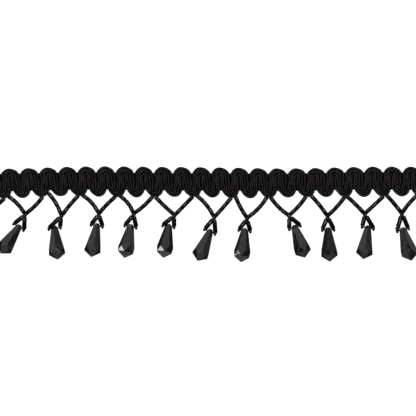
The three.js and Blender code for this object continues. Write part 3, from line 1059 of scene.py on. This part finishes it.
def bore(thing):
    """Drills the level hole across a drop's head."""
    deselect()
    bpy.ops.mesh.primitive_cylinder_add(
        vertices=HOLE_SIDES,
        radius=HOLE_RADIUS * MM,
        depth=HOLE_LENGTH * MM,
        location=(0, -HOLE_DEPTH * MM, 0),
        rotation=(0, QUARTER_TURN, 0),
    )
    drill = bpy.context.object
    cut = thing.modifiers.new("hole", "BOOLEAN")
    cut.object = drill
    cut.operation = "DIFFERENCE"
    cut.solver = "EXACT"
    apply_modifier(thing, cut)
    bpy.data.objects.remove(drill)


class TRIM_OT_drops(bpy.types.Operator):
    """Cut the faceted drop and hang a copy from every loop"""

    bl_idname = "trim.drops"
    bl_label = "Drops"

    def execute(self, context):
        fringe = context.scene.trim_fringe
        acrylic = acrylic_finish("black_acrylic", fringe.drop_colour)
        model = drop_bead()
        for number, strand in enumerate(strands(context.scene.trim_braid), 1):
            twin = copy_of(model)
            twin.rotation_euler.y = math.radians(strand.row["roll"])
            activate(twin)
            bpy.ops.object.transform_apply(location=False, rotation=True, scale=False)
            bore(twin)
            place = strand.place.copy()
            place.translation = in_frame(strand.place.translation)
            twin.matrix_world = place
            settle(twin, f"drop_bead_{number:02d}", acrylic, smooth=False)
            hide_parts(f"drop_{number:02d}")
        bpy.data.objects.remove(model)
        return {"FINISHED"}


# The stage: pale table, soft light and the camera


def soft_box(name, brightness, azimuth, elevation, away, size):
    """A flat lamp that faces the trim. The brightness is that of its face, and the angles are in degrees."""
    width, height = size
    lamp = bpy.data.lights.new(name, "AREA")
    lamp.shape = "RECTANGLE"
    lamp.size = width
    lamp.size_y = height
    lamp.energy = brightness * math.pi * width * height
    thing = bpy.data.objects.new(name, lamp)
    bpy.context.collection.objects.link(thing)
    turn = math.radians(azimuth)
    rise = math.radians(elevation)
    towards = Vector((math.cos(turn) * math.cos(rise), math.sin(turn) * math.cos(rise), math.sin(rise)))
    place = towards * away
    thing.location = place
    thing.rotation_euler = (-place).to_track_quat("-Z", "Y").to_euler()


class TRIM_OT_stage(bpy.types.Operator):
    """Set the pale table, the soft light and the camera"""

    bl_idname = "trim.stage"
    bl_label = "Stage"

    def execute(self, context):
        stage = context.scene.trim_stage
        deselect()
        bpy.ops.mesh.primitive_plane_add(size=TABLE_SIZE, location=(0, 0, 0))
        table = bpy.context.object
        table.name = "table"
        table.data.materials.append(table_finish("pale_table", stage.table_colour, stage.table_glow))
        soft_box("overhead_box", stage.overhead, azimuth=90, elevation=60, away=1.2, size=(0.9, 2.1))
        soft_box("side_lamp", stage.side_lamp, azimuth=175, elevation=23, away=1.0, size=(0.14, 0.3))
        soft_box("top_lamp", stage.top_lamp, azimuth=80, elevation=79, away=1.2, size=(0.2, 0.2))
        soft_box("left_screen", stage.left_screen, azimuth=130, elevation=20, away=1.6, size=(2.4, 1.05))
        soft_box("right_screen", stage.right_screen, azimuth=30, elevation=24, away=1.6, size=(2.2, 1.2))
        soft_box("front_screen", stage.front_screen, azimuth=-105, elevation=9, away=1.6, size=(1.6, 0.45))
        world = bpy.data.worlds.new("room")
        world.use_nodes = True
        background = world.node_tree.nodes["Background"]
        background.inputs["Color"].default_value = WHITE
        background.inputs["Strength"].default_value = stage.room
        context.scene.world = world
        camera = bpy.data.cameras.new("camera")
        camera.lens = stage.lens
        camera.clip_start = CAMERA_NEAR
        thing = bpy.data.objects.new("camera", camera)
        context.collection.objects.link(thing)
        height = stage.frame_width * stage.lens / camera.sensor_width
        thing.location = (stage.aim_right, stage.aim_up, height)
        context.scene.camera = thing
        context.scene.view_settings.view_transform = "Standard"
        return {"FINISHED"}


class TRIM_PT_panel(bpy.types.Panel):
    """Buttons for the trim's pieces, in the order in which they are made"""

    bl_label = "Beaded fringe trim"
    bl_idname = "TRIM_PT_panel"
    bl_space_type = "VIEW_3D"
    bl_region_type = "UI"
    bl_category = "Trim"

    def draw(self, context):
        scene = context.scene
        for group, operators in (
            (scene.trim_stage, (TRIM_OT_stage,)),
            (scene.trim_braid, (TRIM_OT_cords, TRIM_OT_ground)),
            (scene.trim_fringe, (TRIM_OT_beads, TRIM_OT_thread, TRIM_OT_drops)),
        ):
            box = self.layout.box()
            for name in group.__annotations__:
                box.prop(group, name)
            for operator in operators:
                box.operator(operator.bl_idname)


GROUPS = {"trim_braid": BraidSettings, "trim_fringe": FringeSettings, "trim_stage": StageSettings}
CLASSES = (
    *GROUPS.values(),
    TRIM_OT_stage,
    TRIM_OT_cords,
    TRIM_OT_ground,
    TRIM_OT_beads,
    TRIM_OT_thread,
    TRIM_OT_drops,
    TRIM_PT_panel,
)


def register():
    for kind in CLASSES:
        bpy.utils.register_class(kind)
    for name, kind in GROUPS.items():
        setattr(bpy.types.Scene, name, PointerProperty(type=kind))


def unregister():
    for name in GROUPS:
        delattr(bpy.types.Scene, name)
    for kind in reversed(CLASSES):
        bpy.utils.unregister_class(kind)


def main():
    register()
    bpy.ops.trim.stage()
    bpy.ops.trim.cords()
    bpy.ops.trim.ground()
    bpy.ops.trim.beads()
    bpy.ops.trim.thread()
    bpy.ops.trim.drops()


if __name__ == "__main__":
    main()
